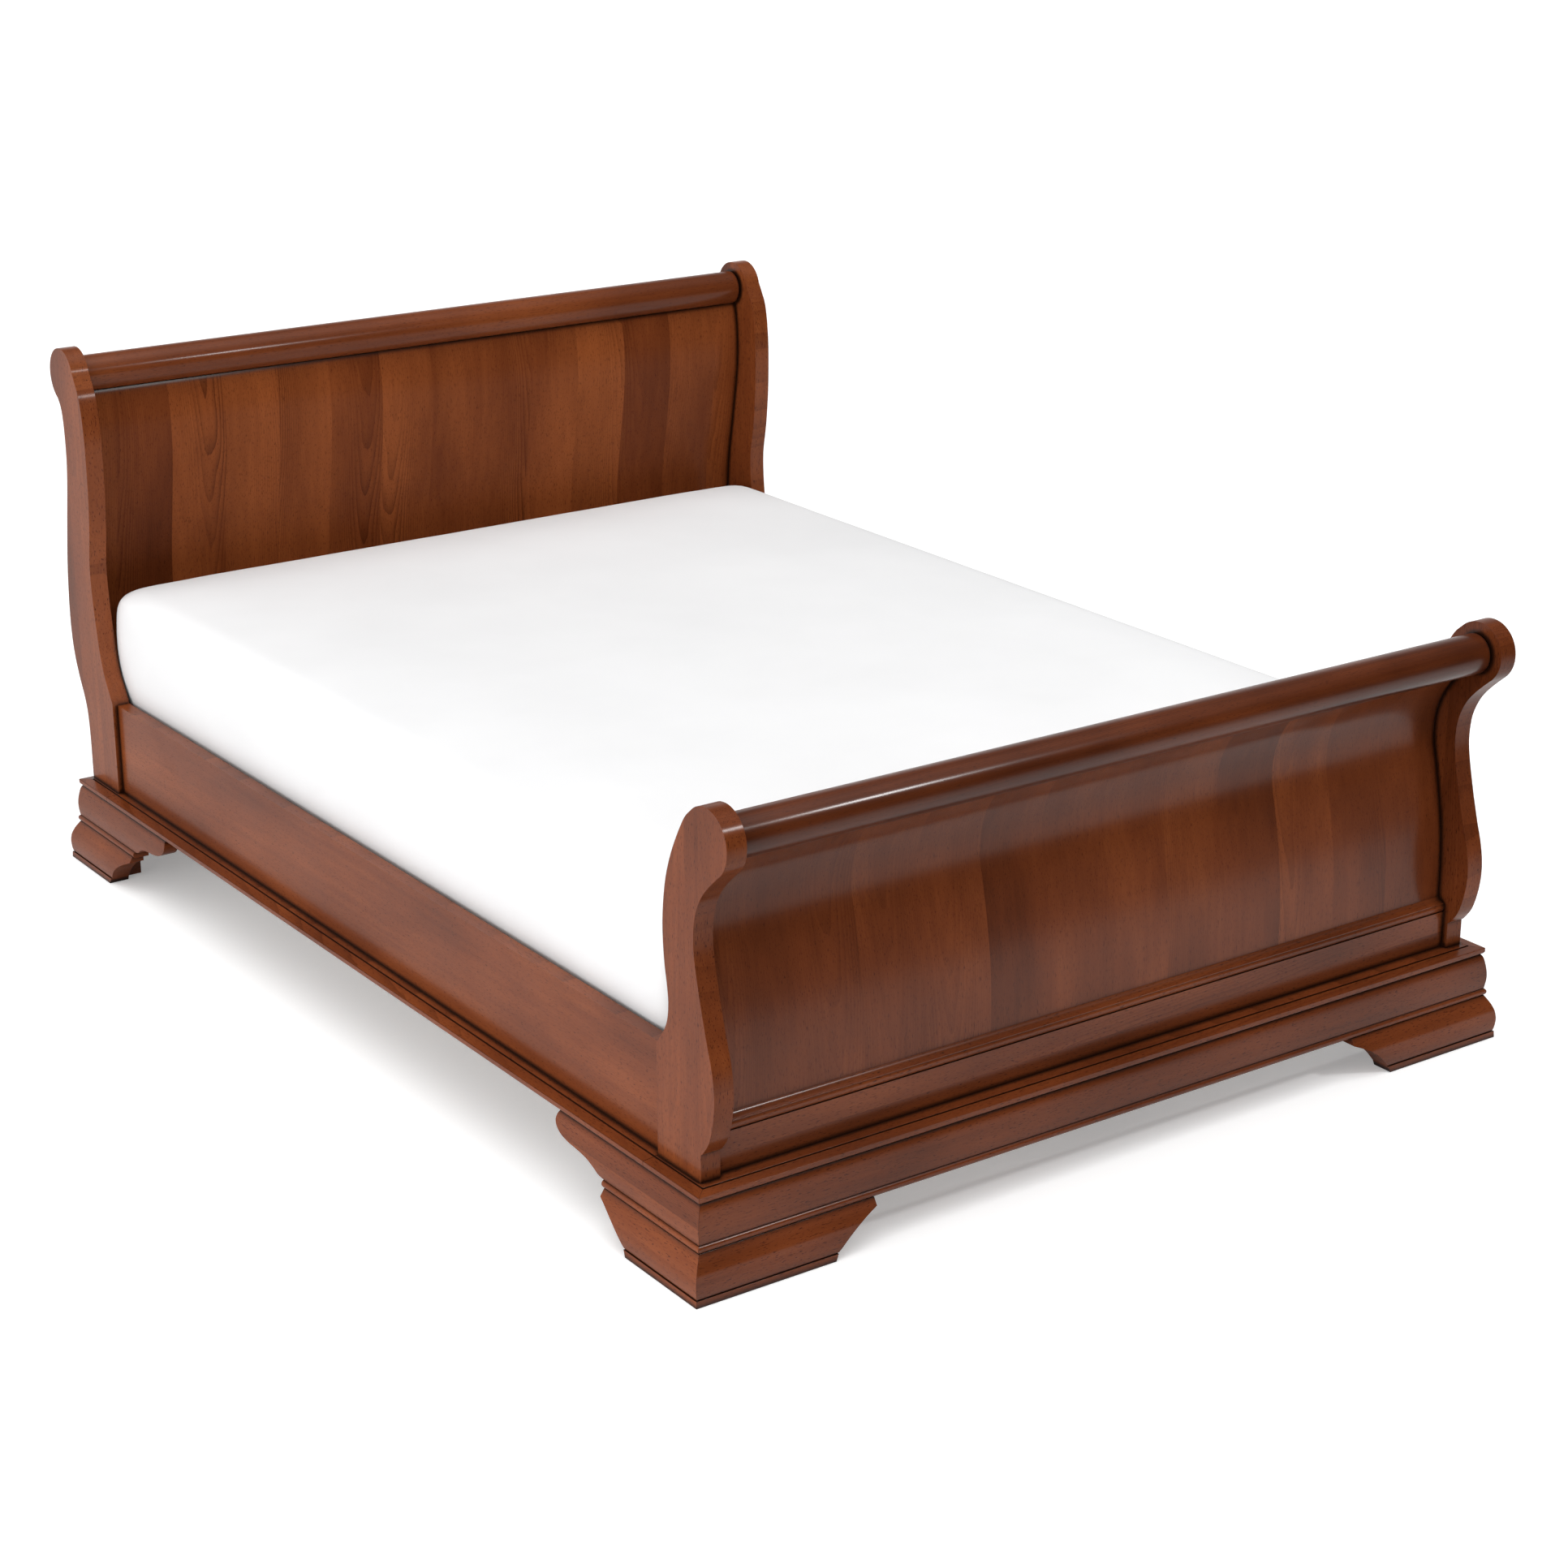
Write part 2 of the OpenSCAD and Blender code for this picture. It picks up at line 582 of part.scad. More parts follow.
// Runs its children at each rail end, with +Y pointing from the rail into the post
module at_rail_ends() for (s = ["left", "right"]) on_side(s) {
    translate([hook_x, rail_y0, plate_z]) mirror([0, 1, 0]) children();
    translate([hook_x, rail_y1, plate_z]) children();
}

module plate_screw_places() for (z = [-1, 1] * plate_screw_pitch / 2)
    translate([0, 0, z]) rotate([90, 0, 0]) children();

module rail_hook_plates() color(steel) in_frame() at_rail_ends() {
    difference() {
        translate([-plate_w / 2, -plate_t, -plate_h / 2]) cube([plate_w, plate_t, plate_h]);
        plate_screw_places() translate([0, 0, plate_t]) screw(short_screw_l);
        plate_screw_places() cylinder(h = 2 * plate_t + 1, r = screw_head_r, center = true, $fn = smooth);
    }
    for (z = [-1, 1] * hook_pitch / 2) along_x(-hook_t / 2, hook_t / 2, [
        [-1, z - hook_h / 2 + hook_drop], [hook_neck, z - hook_h / 2 + hook_drop],
        [hook_neck, z - hook_h / 2], [hook_neck + hook_l - 4, z - hook_h / 2],
        [hook_neck + hook_l - 4, z + hook_h / 2 - 4], [hook_neck + hook_l - 8, z + hook_h / 2],
        [-1, z + hook_h / 2]]);
}

module post_slot_plates() color(steel) in_frame() at_rail_ends() translate([0, gap, 0]) difference() {
    translate([-plate_w / 2, 0, -plate_h / 2]) cube([plate_w, plate_t, plate_h]);
    for (z = [-1, 1] * hook_pitch / 2) translate([-hook_t / 2 - 0.3, -1, z - hook_h / 2 - 4])
        cube([hook_t + 0.6, plate_t + 2, hook_h + 8]);
    plate_screw_places() cylinder(h = 2 * plate_t + 1, r = screw_head_r, center = true, $fn = smooth);
}

module plate_screws() color(steel) in_frame() at_rail_ends() {
    for (z = [-1, 1] * plate_screw_pitch / 2) {
        translate([0, -plate_t, z]) rotate([90, 0, 0]) pan_screw();
        translate([0, gap + plate_t, z]) rotate([-90, 0, 0]) pan_screw();
    }
}

// Screw with a flat head that fills a fitting plate's hole; Z = 0 is where the shank enters the wood
module pan_screw() {
    cylinder(h = short_screw_l, r = screw_r, $fn = smooth);
    translate([0, 0, -plate_t]) cylinder(h = plate_t, r = screw_head_r, $fn = smooth);
}

// Loose mattress, a plain block with rounded corners
module mattress() color(ticking) in_frame()
    translate([0, mattress_y, slat_top + mattress_lift]) linear_extrude(height = mattress_h) union() {
        square([mattress_w - 2 * mattress_corner_r, mattress_l], center = true);
        square([mattress_w, mattress_l - 2 * mattress_corner_r], center = true);
        for (x = [-1, 1], y = [-1, 1])
            translate([x * (mattress_w / 2 - mattress_corner_r), y * (mattress_l / 2 - mattress_corner_r)])
                circle(r = mattress_corner_r, $fn = smooth);
    }

foot_post("left");  // foot_post_left
foot_post("right");  // foot_post_right
head_post("left");  // head_post_left
head_post("right");  // head_post_right
foot_roll();
head_roll();
foot_panel();
head_panel();
foot_panel_bead();
foot_bottom_rail();
head_bottom_rail();
foot_cap_front();
foot_cap("left");  // foot_cap_left
foot_cap("right");  // foot_cap_right
foot_frieze_front();
foot_frieze("left");  // foot_frieze_left
foot_frieze("right");  // foot_frieze_right
foot_astragal_front();
foot_astragal("left");  // foot_astragal_left
foot_astragal("right");  // foot_astragal_right
foot_bracket_front("left");  // foot_bracket_front_left
foot_bracket_front("right");  // foot_bracket_front_right
foot_bracket_side("left");  // foot_bracket_side_left
foot_bracket_side("right");  // foot_bracket_side_right
head_cap("left");  // head_cap_left
head_cap("right");  // head_cap_right
head_frieze("left");  // head_frieze_left
head_frieze("right");  // head_frieze_right
head_astragal("left");  // head_astragal_left
head_astragal("right");  // head_astragal_right
head_bracket_side("left");  // head_bracket_side_left
head_bracket_side("right");  // head_bracket_side_right
head_cap_back();
head_frieze_back();
head_astragal_back();
head_bracket_back("left");  // head_bracket_back_left
head_bracket_back("right");  // head_bracket_back_right
corner_blocks();
side_rail("left");  // side_rail_left
side_rail("right");  // side_rail_right
rail_moulding("left");  // rail_moulding_left
rail_moulding("right");  // rail_moulding_right
slat_ledge("left");  // slat_ledge_left
slat_ledge("right");  // slat_ledge_right
slats();
slat_screws();
ledge_screws();
centre_beam();
centre_legs();
leg_glides();
beam_hangers();
hanger_screws();
rail_hook_plates();
post_slot_plates();
plate_screws();
mattress();
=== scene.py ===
import math

import bmesh
import bpy
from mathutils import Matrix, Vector


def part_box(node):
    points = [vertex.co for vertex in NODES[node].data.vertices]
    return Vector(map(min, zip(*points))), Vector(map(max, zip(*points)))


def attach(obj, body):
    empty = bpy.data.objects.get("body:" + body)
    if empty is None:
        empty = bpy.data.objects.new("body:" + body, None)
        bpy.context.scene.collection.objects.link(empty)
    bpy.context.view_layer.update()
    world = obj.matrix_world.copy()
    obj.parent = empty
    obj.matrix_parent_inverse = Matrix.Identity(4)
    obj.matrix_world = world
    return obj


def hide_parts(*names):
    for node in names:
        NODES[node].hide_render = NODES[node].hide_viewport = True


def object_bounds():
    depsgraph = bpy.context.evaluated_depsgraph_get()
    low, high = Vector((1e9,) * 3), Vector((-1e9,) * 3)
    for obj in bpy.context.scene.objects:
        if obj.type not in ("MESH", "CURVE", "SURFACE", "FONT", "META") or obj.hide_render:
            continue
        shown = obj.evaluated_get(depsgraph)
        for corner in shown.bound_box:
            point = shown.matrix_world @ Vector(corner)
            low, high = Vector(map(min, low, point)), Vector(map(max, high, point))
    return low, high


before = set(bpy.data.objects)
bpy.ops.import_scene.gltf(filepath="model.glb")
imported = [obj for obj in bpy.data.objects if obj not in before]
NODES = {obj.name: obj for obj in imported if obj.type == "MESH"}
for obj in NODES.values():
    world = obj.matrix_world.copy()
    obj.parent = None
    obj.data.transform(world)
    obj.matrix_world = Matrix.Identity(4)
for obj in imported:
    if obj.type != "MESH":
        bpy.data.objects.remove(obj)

BOX_AT_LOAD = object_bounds()
BED_LO, BED_HI = (Vector(c) for c in BOX_AT_LOAD)


# ---------- shader helpers ----------

class Graph:
    """Small wrapper that adds nodes to a material and links them by value or socket."""

    def __init__(self, name):
        self.mat = bpy.data.materials.new(name)
        self.mat.use_nodes = True
        self.tree = self.mat.node_tree
        self.bsdf = self.tree.nodes["Principled BSDF"]

    def feed(self, socket, value):
        if isinstance(value, bpy.types.NodeSocket):
            self.tree.links.new(value, socket)
        elif value is not None:
            socket.default_value = value

    def node(self, kind, inputs=None, **props):
        made = self.tree.nodes.new(kind)
        for key, value in props.items():
            setattr(made, key, value)
        for key, value in (inputs or {}).items():
            self.feed(made.inputs[key], value)
        return made

    def math(self, op, a, b=None, clamp=False):
        made = self.node("ShaderNodeMath", operation=op, use_clamp=clamp)
        self.feed(made.inputs[0], a)
        self.feed(made.inputs[1], b)
        return made.outputs[0]

    def mix(self, factor, a, b):
        made = self.node("ShaderNodeMix", data_type="RGBA")
        self.feed(made.inputs["Factor"], factor)
        self.feed(made.inputs["A"], a)
        self.feed(made.inputs["B"], b)
        return made.outputs["Result"]

    def remap(self, value, lo, hi, to_lo=0.0, to_hi=1.0):
        made = self.node("ShaderNodeMapRange", {"Value": value, "From Min": lo, "From Max": hi,
                                                "To Min": to_lo, "To Max": to_hi})
        return made.outputs["Result"]

    def stretch(self, parts, scales):
        """Vector of three coordinates, each times its own scale."""
        scaled = [self.math("MULTIPLY", part, scale) for part, scale in zip(parts, scales)]
        return self.node("ShaderNodeCombineXYZ", dict(zip("XYZ", scaled))).outputs[0]

    def noise(self, at, scale, detail=2.0, rough=0.5):
        made = self.node("ShaderNodeTexNoise", {"Vector": at, "Scale": scale, "Detail": detail,
                                                "Roughness": rough})
        return made.outputs["Fac"]


def rgb(r, g, b):
    return (r, g, b, 1.0)


# ---------- wood ----------

DEEP = rgb(0.046, 0.0094, 0.0026)
BROWN = rgb(0.172, 0.0408, 0.0112)
ORANGE = rgb(0.330, 0.0880, 0.0235)
# colour of the painted shade in quirks, corners and gaps between parts
PAINTED_SHADE_COLOUR = rgb(0.0060, 0.0028, 0.0018)


# scales of the figure, as (along the grain, across it, into the wood), in cycles per metre
BEND, WAVER, PATCHES = (2.4, 9.0, 1.0), (9.0, 42.0, 1.0), (1.3, 4.0, 1.0)
STREAKS, PORES, CLOUDS = (2.6, 85.0, 85.0), (110.0, 700.0, 700.0), (2.2, 6.0, 1.0)
ARCH_CURVE = 2300.0         # rings per square metre of distance from the heart line
RINGS_PER_METRE = 8.5       # along the grain
BEND_RINGS, WAVER_RINGS = 3.4, 0.7
LATE_WOOD = 2.4             # exponent that thins the dark edge of a ring
CLOUD_DEPTH = 0.95
SHADE_REACH = 0.011              # reach of the painted shade in quirks, corners and gaps between parts, m


def wood(name, axes, stave, tone, figure, spread, gloss=0.45, pores=1.0, streaks=0.38):
    """Lacquered mahogany with its figure worked out per board.

    axes: letters along the grain, across the boards and into them; stave: board width, m;
    tone: 0 dark to 1 orange; spread: how far boards differ; figure, pores, streaks: strengths of the grain.
    """
    g = Graph(name)
    place = g.node("ShaderNodeTexCoord").outputs["Object"]
    xyz = g.node("ShaderNodeSeparateXYZ", {"Vector": place})
    u, v, w = (xyz.outputs[axis] for axis in axes)
    board = g.math("DIVIDE", g.math("ADD", v, 10.03), stave)
    cell = g.node("ShaderNodeTexWhiteNoise", noise_dimensions="1D")
    g.feed(cell.inputs["W"], g.math("FLOOR", board))
    dice = g.node("ShaderNodeSeparateColor", {"Color": cell.outputs["Color"]})
    one, two, three = (dice.outputs[channel] for channel in ("Red", "Green", "Blue"))
    along = g.math("ADD", u, g.math("MULTIPLY", one, 5.1))
    local = g.math("ADD", v, g.math("MULTIPLY", two, 7.3))
    spot = (along, local, w)

    # growth rings: arches about a heart line somewhere near each board, bent by slow noise
    heart = g.math("SUBTRACT", g.math("FRACT", board), g.remap(three, 0.0, 1.0, -0.25, 1.25))
    side = g.math("MULTIPLY", heart, stave)
    bend = g.noise(g.stretch(spot, BEND), 1.0, 2.0)
    waver = g.noise(g.stretch(spot, WAVER), 1.0, 2.0)
    arch = g.math("MULTIPLY", g.math("MULTIPLY", side, side), ARCH_CURVE)
    climb = g.math("MULTIPLY", along, RINGS_PER_METRE)
    ring = g.math("ADD", g.math("SUBTRACT", arch, climb),
                  g.math("ADD", g.math("MULTIPLY", bend, BEND_RINGS), g.math("MULTIPLY", waver, WAVER_RINGS)))
    late = g.math("POWER", g.math("FRACT", ring), LATE_WOOD)
    patchy = g.remap(g.noise(g.stretch(spot, PATCHES), 1.0, 1.0), 0.35, 0.65)
    lines = g.math("MULTIPLY", late, g.math("MULTIPLY", patchy, 0.85 * figure))

    streak = g.noise(g.stretch(spot, STREAKS), 1.0, 4.0, 0.65)
    pore = g.remap(g.noise(g.stretch(spot, PORES), 1.0, 1.0), 0.60, 0.72)
    cloud = g.noise(g.stretch(spot, CLOUDS), 1.0, 3.0, 0.55)

    shade = g.math("ADD", g.math("MULTIPLY", g.math("SUBTRACT", cloud, 0.5), CLOUD_DEPTH), tone)
    shade = g.math("ADD", shade, g.math("MULTIPLY", g.math("SUBTRACT", two, 0.5), spread))
    shade = g.math("ADD", shade, g.math("MULTIPLY", g.math("SUBTRACT", streak, 0.5), streaks), clamp=True)
    ramp = g.node("ShaderNodeValToRGB", {"Fac": shade})
    ramp.color_ramp.elements[0].color = DEEP
    ramp.color_ramp.elements[1].color = ORANGE
    ramp.color_ramp.elements.new(0.5).color = BROWN
    colour = g.mix(lines, ramp.outputs["Color"], DEEP)
    colour = g.mix(g.math("MULTIPLY", pore, min(0.95, 0.62 * pores)), colour, DEEP)

    # painted shade: the colour darkens where ambient occlusion finds quirks, corners and gaps between parts
    occlusion = g.node("ShaderNodeAmbientOcclusion", {"Distance": SHADE_REACH}, samples=8)
    shade_mask = g.remap(occlusion.outputs["AO"], 0.95, 0.66)
    colour = g.mix(g.math("MULTIPLY", shade_mask, 0.9), colour, PAINTED_SHADE_COLOUR)
    g.feed(g.bsdf.inputs["Base Color"], colour)

    rub = g.noise(place, 7.0, 3.0)
    g.feed(g.bsdf.inputs["Roughness"],
           g.math("ADD", g.remap(rub, 0.3, 0.7, 0.28, 0.37), g.math("MULTIPLY", pore, 0.10)))
    g.feed(g.bsdf.inputs["IOR"], 1.5)
    g.feed(g.bsdf.inputs["Specular IOR Level"], 0.16 * gloss)
    g.feed(g.bsdf.inputs["Coat Weight"], gloss)
    g.feed(g.bsdf.inputs["Coat Roughness"], 0.17)
    height = g.math("SUBTRACT", g.math("MULTIPLY", streak, 0.3), g.math("MULTIPLY", pore, 0.7))
    bump = g.node("ShaderNodeBump", {"Height": height, "Strength": 0.10, "Distance": 0.0005})
    g.feed(g.bsdf.inputs["Normal"], bump.outputs["Normal"])
    return g.mat


PANEL_AXES, POST_AXES, CROSS_AXES, SIDE_AXES = "ZXY", "ZYX", "XZY", "YZX"
CROSS_STAVE, SIDE_STAVE = 0.31, 0.29    # wider than the pieces, so each is one board

FOOT_PANEL_WOOD = wood("foot_panel_mahogany", PANEL_AXES, 0.124, tone=0.47, figure=0.4, spread=0.20,
                       streaks=0.28)
HEAD_PANEL_WOOD = wood("head_panel_mahogany", PANEL_AXES, 0.118, tone=0.72, figure=0.9, spread=0.36,
                       gloss=0.12, streaks=0.34)
POST_WOOD = wood("post_mahogany", POST_AXES, 0.078, tone=0.49, figure=0.40, spread=0.32, gloss=0.31,
                 pores=1.6)
CROSS_WOOD = wood("cross_mahogany", CROSS_AXES, CROSS_STAVE, tone=0.33, figure=0.7, spread=0.2, pores=1.5)
RAIL_WOOD = wood("rail_mahogany", CROSS_AXES, CROSS_STAVE, tone=0.45, figure=0.7, spread=0.2, pores=1.5)
FOOT_ROLL_WOOD = wood("foot_roll_mahogany", CROSS_AXES, CROSS_STAVE, tone=0.17, figure=0.7, spread=0.2,
                      gloss=0.52)
HEAD_ROLL_WOOD = wood("head_roll_mahogany", CROSS_AXES, CROSS_STAVE, tone=0.58, figure=0.9, spread=0.2,
                      gloss=0.36)
SIDE_WOOD = wood("side_mahogany", SIDE_AXES, SIDE_STAVE, tone=0.54, figure=0.6, spread=0.2, gloss=0.29,
                 pores=1.3)


def plain_wood():
    g = Graph("inner_pale_wood")
    xyz = g.node("ShaderNodeSeparateXYZ", {"Vector": g.node("ShaderNodeTexCoord").outputs["Object"]})
    grain = g.noise(g.stretch(xyz.outputs, (3.0, 60.0, 60.0)), 1.0, 4.0)
    g.feed(g.bsdf.inputs["Base Color"],
           g.mix(g.remap(grain, 0.35, 0.65), rgb(0.42, 0.26, 0.13), rgb(0.62, 0.44, 0.25)))
    g.feed(g.bsdf.inputs["Roughness"], g.remap(grain, 0.3, 0.7, 0.55, 0.72))
    bump = g.node("ShaderNodeBump", {"Height": grain, "Strength": 0.15, "Distance": 0.0005})
    g.feed(g.bsdf.inputs["Normal"], bump.outputs["Normal"])
    return g.mat


def zinc():
    g = Graph("zinc_plate")
    mottle = g.noise(g.node("ShaderNodeTexCoord").outputs["Object"], 220.0, 3.0)
    g.feed(g.bsdf.inputs["Metallic"], 1.0)
    g.feed(g.bsdf.inputs["Base Color"],
           g.mix(g.remap(mottle, 0.3, 0.7), rgb(0.45, 0.45, 0.46), rgb(0.66, 0.66, 0.64)))
    g.feed(g.bsdf.inputs["Roughness"], g.remap(mottle, 0.3, 0.7, 0.28, 0.42))
    return g.mat


def black_plastic():
    g = Graph("moulded_plastic")
    grain = g.noise(g.node("ShaderNodeTexCoord").outputs["Object"], 900.0, 2.0)
    g.feed(g.bsdf.inputs["Base Color"], g.mix(grain, rgb(0.016, 0.016, 0.017), rgb(0.03, 0.03, 0.03)))
    g.feed(g.bsdf.inputs["Roughness"], g.remap(grain, 0.3, 0.7, 0.5, 0.62))
    bump = g.node("ShaderNodeBump", {"Height": grain, "Strength": 0.1, "Distance": 0.0003})
    g.feed(g.bsdf.inputs["Normal"], bump.outputs["Normal"])
    return g.mat


THREAD = 0.0011     # pitch of the cover's weave, m


def cover_cloth():
    g = Graph("fitted_cover")
    at = g.node("ShaderNodeTexCoord").outputs["Object"]
    xyz = g.node("ShaderNodeSeparateXYZ", {"Vector": at})
    weave = [g.math("SINE", g.math("MULTIPLY", xyz.outputs[axis], 2 * math.pi / THREAD)) for axis in "XYZ"]
    cloth = g.math("MULTIPLY", g.math("MULTIPLY", weave[0], weave[1]), weave[2])
    cloud = g.noise(at, 3.0, 3.0)
    g.feed(g.bsdf.inputs["Base Color"],
           g.mix(g.remap(cloud, 0.3, 0.7), rgb(0.81, 0.81, 0.815), rgb(0.85, 0.85, 0.855)))
    g.feed(g.bsdf.inputs["Roughness"], g.remap(cloth, -1.0, 1.0, 0.78, 0.9))
    g.feed(g.bsdf.inputs["Sheen Weight"], 0.12)
    g.feed(g.bsdf.inputs["Sheen Roughness"], 0.4)
    bump = g.node("ShaderNodeBump", {"Height": cloth, "Strength": 0.15, "Distance": 0.0002})
    g.feed(g.bsdf.inputs["Normal"], bump.outputs["Normal"])
    return g.mat


PALE = plain_wood()
STEEL = zinc()
PLASTIC = black_plastic()
COVER = cover_cloth()


# ---------- wooden pieces: CAD shape with eased arrises ----------

EASE, FINE_EASE = 0.0012, 0.0007        # width of an eased arris on boards and on mouldings, m
SHARP = math.radians(32)                # edges sharper than this are eased
FLAT = math.radians(0.6)                # faces flatter than this to each other become one
SAME_POINT = 0.00002


def dress(node, material, ease=EASE):
    """Copies a CAD node's mesh, eases its sharp edges and shades its curves smooth."""
    source = NODES[node]
    mesh = source.data.copy()
    mesh.name = node + "_shaped"
    piece = bpy.data.objects.new(node + "_shaped", mesh)
    bpy.context.scene.collection.objects.link(piece)
    piece.matrix_world = source.matrix_world.copy()
    bm = bmesh.new()
    bm.from_mesh(mesh)
    bmesh.ops.remove_doubles(bm, verts=bm.verts, dist=SAME_POINT)
    bmesh.ops.dissolve_limit(bm, angle_limit=FLAT, verts=bm.verts, edges=bm.edges)
    for face in bm.faces:
        face.smooth = True
    bm.to_mesh(mesh)
    bm.free()
    if "custom_normal" in mesh.attributes:
        mesh.attributes.remove(mesh.attributes["custom_normal"])
    mesh.materials.clear()
    mesh.materials.append(material)
    bevel = piece.modifiers.new("ease", "BEVEL")
    bevel.width = ease
    bevel.segments = 2
    bevel.limit_method = "ANGLE"
    bevel.angle_limit = SHARP
    bevel.harden_normals = True
    bevel.use_clamp_overlap = True
    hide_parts(node)
    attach(piece, "bedstead")


for side in ("left", "right"):
    dress("foot_post_" + side, POST_WOOD)
    dress("head_post_" + side, POST_WOOD)
    dress("side_rail_" + side, SIDE_WOOD)
    for name in ("rail_moulding_", "foot_cap_", "foot_frieze_", "foot_astragal_", "foot_bracket_side_",
                 "head_cap_", "head_frieze_", "head_astragal_", "head_bracket_side_"):
        dress(name + side, SIDE_WOOD, FINE_EASE)
    dress("foot_bracket_front_" + side, CROSS_WOOD, FINE_EASE)
    dress("head_bracket_back_" + side, CROSS_WOOD, FINE_EASE)
dress("foot_panel", FOOT_PANEL_WOOD)
dress("head_panel", HEAD_PANEL_WOOD)
dress("head_roll", HEAD_ROLL_WOOD)
dress("foot_roll", FOOT_ROLL_WOOD)
for name in ("foot_bottom_rail", "head_bottom_rail"):
    dress(name, RAIL_WOOD)
for name in ("foot_panel_bead", "foot_cap_front", "head_cap_back"):
    dress(name, RAIL_WOOD, FINE_EASE)
for name in ("foot_frieze_front", "foot_astragal_front", "head_frieze_back", "head_astragal_back"):
    dress(name, CROSS_WOOD, FINE_EASE)

for name, material in [("corner_blocks", CROSS_WOOD), ("slat_ledge_left", PALE), ("slat_ledge_right", PALE),
                       ("slats", PALE), ("centre_beam", PALE), ("centre_legs", PALE),
                       ("slat_screws", STEEL), ("ledge_screws", STEEL), ("beam_hangers", STEEL),
                       ("hanger_screws", STEEL), ("rail_hook_plates", STEEL), ("post_slot_plates", STEEL),
                       ("plate_screws", STEEL), ("leg_glides", PLASTIC)]:
    mesh = NODES[name].data
    mesh.materials.clear()
    mesh.materials.append(material)


# ---------- mattress: crowned pad with soft edges, blown up as cloth ----------

SWELL = 0.010                       # most that the cloth may move a point, m
CROWN_X, CROWN_Y = 0.006, 0.002     # fall of the top towards the sides and the ends
CORNER_R, TOP_R, FOOT_R = 0.046, 0.034, 0.030
LEAST_R = 0.004
MARGIN = 0.004                      # the start block's overlap at the sides and its gap at the top
VOXEL, QUICK_VOXEL = 0.018, 0.030
CLOTH_FRAMES, PRESSURE = 20, 4.0
BELLY, PINCH = 0.014, 0.004         # how far the sides stand out, and are held in at the foot
SIDE_FROM, END_FROM = 0.9, 0.93     # where the sides and the ends begin, as parts of the half size
END_BELLY = 0.8
LIFT = 0.0002                       # least height of the cover over the mattress's underside


def soft_slab(lo, hi, side_r, top_r, foot_r, steps=6):
    """Rounded block: plan corners of radius side_r, top and bottom edges of radius top_r and foot_r."""
    rings = []
    for k in range(steps + 1):
        a = math.pi / 2 * k / steps
        rings.append((foot_r * (1 - math.sin(a)), lo.z + foot_r * (1 - math.cos(a))))
    for k in range(steps + 1):
        a = math.pi / 2 * k / steps
        rings.append((top_r * (1 - math.cos(a)), hi.z - top_r * (1 - math.sin(a))))
    bm = bmesh.new()
    loops = []
    for inset, z in rings:
        loop = []
        for cx, cy, start in ((1, 1, 0), (-1, 1, 90), (-1, -1, 180), (1, -1, 270)):
            r = max(side_r - inset, LEAST_R)
            corner = Vector((hi.x if cx > 0 else lo.x, hi.y if cy > 0 else lo.y))
            mid = corner - (r + inset) * Vector((cx, cy))
            for k in range(steps + 1):
                a = math.radians(start + 90 * k / steps)
                loop.append(bm.verts.new((mid.x + r * math.cos(a), mid.y + r * math.sin(a), z)))
        loops.append(loop)
    count = len(loops[0])
    for low, high in zip(loops, loops[1:]):
        for k in range(count):
            bm.faces.new((low[k], low[(k + 1) % count], high[(k + 1) % count], high[k]))
    bm.faces.new(list(reversed(loops[0])))
    bm.faces.new(loops[-1])
    mesh = bpy.data.meshes.new("mattress_cover")
    bm.to_mesh(mesh)
    bm.free()
    return mesh


def apply_modifier(piece, name):
    with bpy.context.temp_override(object=piece, active_object=piece, selected_objects=[piece]):
        bpy.ops.object.modifier_apply(modifier=name)


def mattress():
    lo, hi = (Vector(c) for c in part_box("mattress"))
    small_lo = lo + Vector((-MARGIN, -MARGIN, 0.0005))
    small_hi = hi + Vector((MARGIN, MARGIN, MARGIN - SWELL))
    piece = bpy.data.objects.new("mattress_cover", soft_slab(small_lo, small_hi, CORNER_R, TOP_R, FOOT_R))
    bpy.context.scene.collection.objects.link(piece)
    remesh = piece.modifiers.new("voxels", "REMESH")
    remesh.mode = "VOXEL"
    remesh.voxel_size = VOXEL
    apply_modifier(piece, "voxels")
    rest = [v.co.copy() for v in piece.data.vertices]
    cloth = piece.modifiers.new("cloth", "CLOTH")
    cloth.settings.use_pressure = True
    cloth.settings.uniform_pressure_force = PRESSURE
    cloth.settings.effector_weights.gravity = 0.0
    cloth.point_cache.frame_start, cloth.point_cache.frame_end = 1, CLOTH_FRAMES
    for frame_number in range(1, CLOTH_FRAMES + 1):
        bpy.context.scene.frame_set(frame_number)
    apply_modifier(piece, "cloth")
    bpy.context.scene.frame_set(1)
    middle, half = (lo + hi) / 2, (hi - lo) / 2
    for vertex, start in zip(piece.data.vertices, rest):
        move = vertex.co - start
        if move.length > SWELL:
            vertex.co = start + move * (SWELL / move.length)
        px, py = (vertex.co.x - middle.x) / half.x, (vertex.co.y - middle.y) / half.y
        up = (vertex.co.z - lo.z) / (hi.z - lo.z)
        vertex.co.z -= up * (CROWN_X * abs(px) ** 8 + CROWN_Y * abs(py) ** 4)
        # the sides stand out most at two thirds of the height, and are held in at the foot
        belly = BELLY * math.sin(math.pi * min(1.0, up * 0.85 + 0.05)) - PINCH
        if abs(px) > SIDE_FROM:
            vertex.co.x += math.copysign(belly * (abs(px) - SIDE_FROM) / (1 - SIDE_FROM), px)
        if abs(py) > END_FROM:
            vertex.co.y += math.copysign(END_BELLY * belly * (abs(py) - END_FROM) / (1 - END_FROM), py)
        vertex.co.z = min(max(vertex.co.z, lo.z + LIFT), hi.z + MARGIN)
    fine = piece.modifiers.new("fine", "SUBSURF")
    fine.levels = fine.render_levels = 1
    for face in piece.data.polygons:
        face.use_smooth = True
    piece.data.materials.append(COVER)
    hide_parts("mattress")
    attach(piece, "mattress")


mattress()


# ---------- floor, light and camera ----------

bpy.context.scene.view_settings.view_transform = "Standard"

